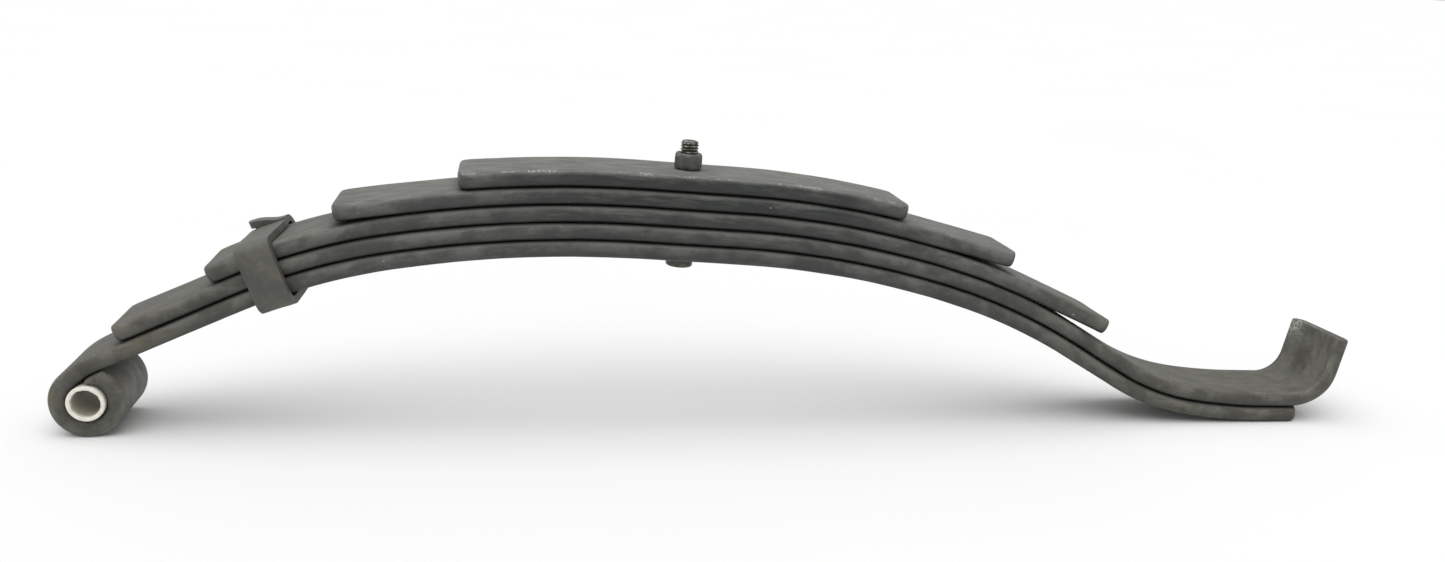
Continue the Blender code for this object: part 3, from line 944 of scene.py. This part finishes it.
def leaf_material():
    """Dark satin paint over mill scale, dusty on top, oily and near black at the middle of the pack's sides,
    with painted shade low on the sides and beside the gaps, and painted glints along the open upper edges.
    """
    n = Nodes("leaf_paint")
    place = n.attribute("place", "Vector")
    oily, brown, rise = n.colour_parts(n.attribute("tone", "Color"))
    # Painted shade beside the gaps, the open upper edges for painted glints, and the hook's scuff
    gap_shade, edge_mask, scuffed = n.colour_parts(n.attribute("grime", "Color"))
    edge = n.attribute("tone", "Alpha")
    streaks = n.noise(n.along(place, 0.16), scale=360.0, detail=5.0, roughness=0.62)
    clouds = n.noise(place, scale=38.0, detail=5.0, roughness=0.62)
    blotches = n.noise(n.along(place, 0.5), scale=150.0, detail=4.0, roughness=0.6)
    grain = n.noise(place, scale=950.0, detail=4.0, roughness=0.6)
    patches = n.noise(place, scale=95.0, detail=3.0, roughness=0.7)
    side = n.span(edge, 0.03, 0.35)

    # Paint of the sides: cloudy, with painted shade making them darker low down, and oily near the bolt
    deep = n.mix(brown, *LEAF_DEEP)
    paint = n.mix(n.span(clouds, 0.34, 0.58), deep, n.mix(brown, *LEAF_PAINT))
    paint = n.mix(n.span(blotches, 0.44, 0.62, 0.0, 0.75), paint, deep)
    # Painted shade: the lower part of each side is darkened, more so where the leaf is oily
    low = n.times(n.span(rise, 0.86, 0.22), side)
    shade = n.math("ADD", n.times(oily, 0.3), 0.5)
    paint = n.mix(n.times(low, shade), paint, LEAF_PAINTED_SHADE)
    oil = n.times(oily, side, n.span(streaks, 0.38, 0.58, 0.35, 1.0), n.span(rise, 0.98, 0.60, 0.35, 1.0))
    paint = n.mix(n.times(oil, 0.88), paint, LEAF_OIL)

    # Mottled dust on what faces up, brushed off in streaks
    mottled = n.math("ADD", n.times(grain, 0.4), n.times(blotches, 0.6))
    dust = n.mix(n.span(mottled, 0.38, 0.62), n.mix(brown, *LEAF_DUST), n.mix(brown, *LEAF_PALE_DUST))
    brushed = n.times(n.span(streaks, 0.50, 0.66, 0.0, 0.30), n.span(brown, 0.3, 1.0, 1.0, 0.15))
    dust = n.mix(brushed, dust, deep)
    dusty = n.times(n.span(n.facing_up(), 0.45, 0.97), n.span(clouds, 0.25, 0.60, 0.80, 1.0))
    colour = n.mix(dusty, paint, dust)

    # Rust on the arms, and painted shade in the gaps between the leaves
    rust = n.times(brown, n.span(clouds, 0.52, 0.70), n.span(blotches, 0.40, 0.60))
    colour = n.mix(n.times(rust, 0.65), colour, LEAF_RUST)
    colour = n.mix(n.times(gap_shade, 0.80), colour, LEAF_GAP_SHADE)

    # Specks, painted glints along the open upper edges, and the scuffed tip of the hook
    chips = n.cells(n.along(place, 0.45), scale=260.0)
    speck = n.times(n.span(chips, 0.12, 0.06), n.span(patches, 0.56, 0.66))
    fine = n.noise(n.along(place, 0.5), scale=2100.0, detail=2.0, roughness=0.8)
    # Painted glints: pale flecks along the open upper edges
    glint = n.times(edge_mask, side, n.span(edge, 0.85, 0.55), n.span(fine, 0.52, 0.62))
    glint = n.times(glint, n.span(patches, 0.49, 0.57))
    scrapes = n.noise(place, scale=420.0, detail=5.0, roughness=0.7)
    scuff = n.times(scuffed, n.span(scrapes, 0.46, 0.60))
    # Worn specks, the hook's scuff and the painted glints take the same pale colour
    worn = n.math("MAXIMUM", n.times(speck, 0.40), n.times(glint, 0.9))
    worn = n.math("MAXIMUM", worn, n.times(scuff, 0.75))
    colour = n.mix(worn, colour, LEAF_WORN_AND_GLINT)

    # A dark line just over the open upper edges that carry the painted glints
    line = n.times(n.span(edge, 0.0, 0.05), n.span(edge, 0.20, 0.08), edge_mask, n.span(streaks, 0.35, 0.55))
    colour = n.mix(n.times(line, 0.8), colour, LEAF_EDGE_LINE)

    n.shader.inputs["Specular IOR Level"].default_value = 0.38
    rough = n.math("SUBTRACT", n.span(streaks, 0.35, 0.65, 0.46, 0.55), n.times(oil, 0.16))
    rough = n.math("ADD", rough, n.times(dusty, 0.20), clamp=True)
    scale_bumps = n.noise(place, scale=260.0, detail=5.0, roughness=0.65)
    coarse = n.bump(scale_bumps, 0.00016, 0.7)
    return n.finish(colour, rough, n.bump(grain, 0.00004, 0.7, coarse))


def clip_material():
    """The same paint on the strap, browner and more evenly worn."""
    n = Nodes("clip_paint")
    place = n.object_place()
    clouds = n.noise(place, scale=85.0, detail=5.0, roughness=0.6)
    stains = n.noise(place, scale=160.0, detail=3.0, roughness=0.6)
    grain = n.noise(place, scale=1000.0, detail=4.0, roughness=0.6)
    colour = n.mix(n.span(clouds, 0.36, 0.66), *CLIP_PAINT)
    dusty = n.times(n.span(n.facing_up(), 0.35, 0.95), n.span(clouds, 0.25, 0.6, 0.7, 1.0))
    colour = n.mix(dusty, colour, CLIP_DUST)
    colour = n.mix(n.span(stains, 0.56, 0.70, 0.0, 0.5), colour, CLIP_RUST)
    chips = n.cells(place, scale=190.0)
    speck = n.times(n.span(chips, 0.10, 0.05), n.span(n.noise(place, scale=120.0), 0.58, 0.66))
    colour = n.mix(n.times(speck, 0.7), colour, CLIP_WORN)
    rough = n.span(grain, 0.3, 0.7, 0.48, 0.66)
    coarse = n.bump(n.noise(place, scale=300.0, detail=5.0, roughness=0.65), 0.00012, 0.6)
    return n.finish(colour, rough, n.bump(grain, 0.00004, 0.6, coarse))


def bolt_material():
    """Oiled dark steel with bright crests."""
    n = Nodes("bolt_steel")
    place = n.object_place()
    grime = n.noise(place, scale=500.0, detail=5.0, roughness=0.65)
    above = n.span(n.vector_parts(place)[2], 0.0, 0.01)
    crest = n.times(n.span(n.geometry("Pointiness"), 0.50, 0.56), n.span(grime, 0.40, 0.62), above)
    colour = n.mix(n.span(grime, 0.35, 0.7), *BOLT_STEEL)
    colour = n.mix(crest, colour, BOLT_CREST)
    n.shader.inputs["Metallic"].default_value = 0.35
    rough = n.span(grime, 0.3, 0.7, 0.30, 0.52)
    marks = n.noise(place, scale=1500.0, detail=4.0, roughness=0.6)
    return n.finish(colour, rough, n.bump(marks, 0.00004, 0.6))


def nut_material():
    """Painted nut, its corners worn lighter."""
    n = Nodes("nut_steel")
    place = n.object_place()
    grime = n.noise(place, scale=320.0, detail=5.0, roughness=0.65)
    edge_mask = n.times(n.span(n.geometry("Pointiness"), 0.515, 0.57), n.span(grime, 0.32, 0.6, 0.35, 1.0))
    colour = n.mix(n.span(grime, 0.35, 0.68), *NUT_PAINT)
    colour = n.mix(n.span(n.facing_up(), 0.5, 0.95, 0.0, 0.6), colour, NUT_DUST)
    colour = n.mix(n.times(edge_mask, 0.5), colour, NUT_RUBBED)
    n.shader.inputs["Metallic"].default_value = 0.2
    rough = n.span(grime, 0.3, 0.7, 0.42, 0.6)
    marks = n.noise(place, scale=900.0, detail=4.0, roughness=0.6)
    return n.finish(colour, rough, n.bump(marks, 0.00005, 0.6))


def bush_material():
    """Off-white nylon, with painted shade darkening the inside of the bore."""
    n = Nodes("bush_nylon")
    place = n.object_place()
    stain = n.noise(place, scale=260.0, detail=4.0, roughness=0.6)
    x, y, z = n.vector_parts(place)
    radius = n.math("SQRT", n.math("ADD", n.math("POWER", x, 2.0), n.math("POWER", y, 2.0)))
    # Painted shade: darker inside the bore
    inside = n.times(n.span(radius, 0.0077, 0.0071), n.span(n.math("ABSOLUTE", z), 0.0226, 0.0190))
    colour = n.mix(n.span(stain, 0.35, 0.7), *BUSH_NYLON)
    colour = n.mix(n.times(inside, 0.9), colour, BUSH_BORE_SHADE)
    n.shader.inputs["Subsurface Weight"].default_value = 0.08
    n.shader.inputs["Subsurface Scale"].default_value = 0.002
    rough = n.span(stain, 0.3, 0.7, 0.40, 0.58)
    marks = n.noise(place, scale=900.0, detail=4.0, roughness=0.6)
    return n.finish(colour, rough, n.bump(marks, 0.00006, 0.6))


def floor_material():
    n = Nodes("floor_pale")
    clouds = n.noise(n.object_place(), scale=3.0, detail=3.0, roughness=0.5)
    n.feed(n.shader.inputs["Base Color"], n.mix(clouds, *FLOOR_COLOURS))
    n.shader.inputs["Roughness"].default_value = 0.9
    n.shader.inputs["Specular IOR Level"].default_value = 0.1
    return n.material


# ---------------------------------------------------------------- studio


def make_floor():
    bm = bmesh.new()
    bmesh.ops.create_grid(bm, x_segments=1, y_segments=1, size=FLOOR_HALF_SIZE)
    floor = add_mesh("floor", bm, floor_material())


def make_lights():
    """A very wide overhead light, tipped a little towards the near side, over a pale surround."""
    data = bpy.data.lights.new("overhead", "SUN")
    data.energy = SUN_STRENGTH
    data.angle = math.radians(SUN_SPREAD)
    light = bpy.data.objects.new("overhead", data)
    light.rotation_euler = (math.radians(SUN_TIP[0]), math.radians(SUN_TIP[1]), 0.0)
    bpy.context.scene.collection.objects.link(light)
    world = bpy.data.worlds.new("studio")
    world.use_nodes = True
    background = world.node_tree.nodes["Background"]
    background.inputs["Color"].default_value = (1.0, 1.0, 1.0, 1.0)
    background.inputs["Strength"].default_value = WORLD_STRENGTH
    bpy.context.scene.world = world
    bpy.context.scene.view_settings.view_transform = "Standard"


def make_camera():
    data = bpy.data.cameras.new("camera")
    data.sensor_width = SENSOR_WIDTH
    data.lens = CAMERA_LENS
    data.clip_start = CAMERA_NEAR
    camera = bpy.data.objects.new("camera", data)
    heading = Matrix.Rotation(-math.radians(CAMERA_HEADING), 4, "Z")
    pitch = Matrix.Rotation(math.radians(90 + CAMERA_PITCH), 4, "X")
    roll = Matrix.Rotation(math.radians(CAMERA_ROLL), 4, "Z")
    camera.matrix_world = Matrix.Translation(CAMERA_PLACE) @ heading @ pitch @ roll
    bpy.context.scene.collection.objects.link(camera)
    bpy.context.scene.camera = camera


make_camera()
make_lights()
make_floor()
make_leaves(leaf_material())
make_bolt(bolt_material())
make_nut(nut_material())
make_bushing(bush_material())
make_clip(clip_material())
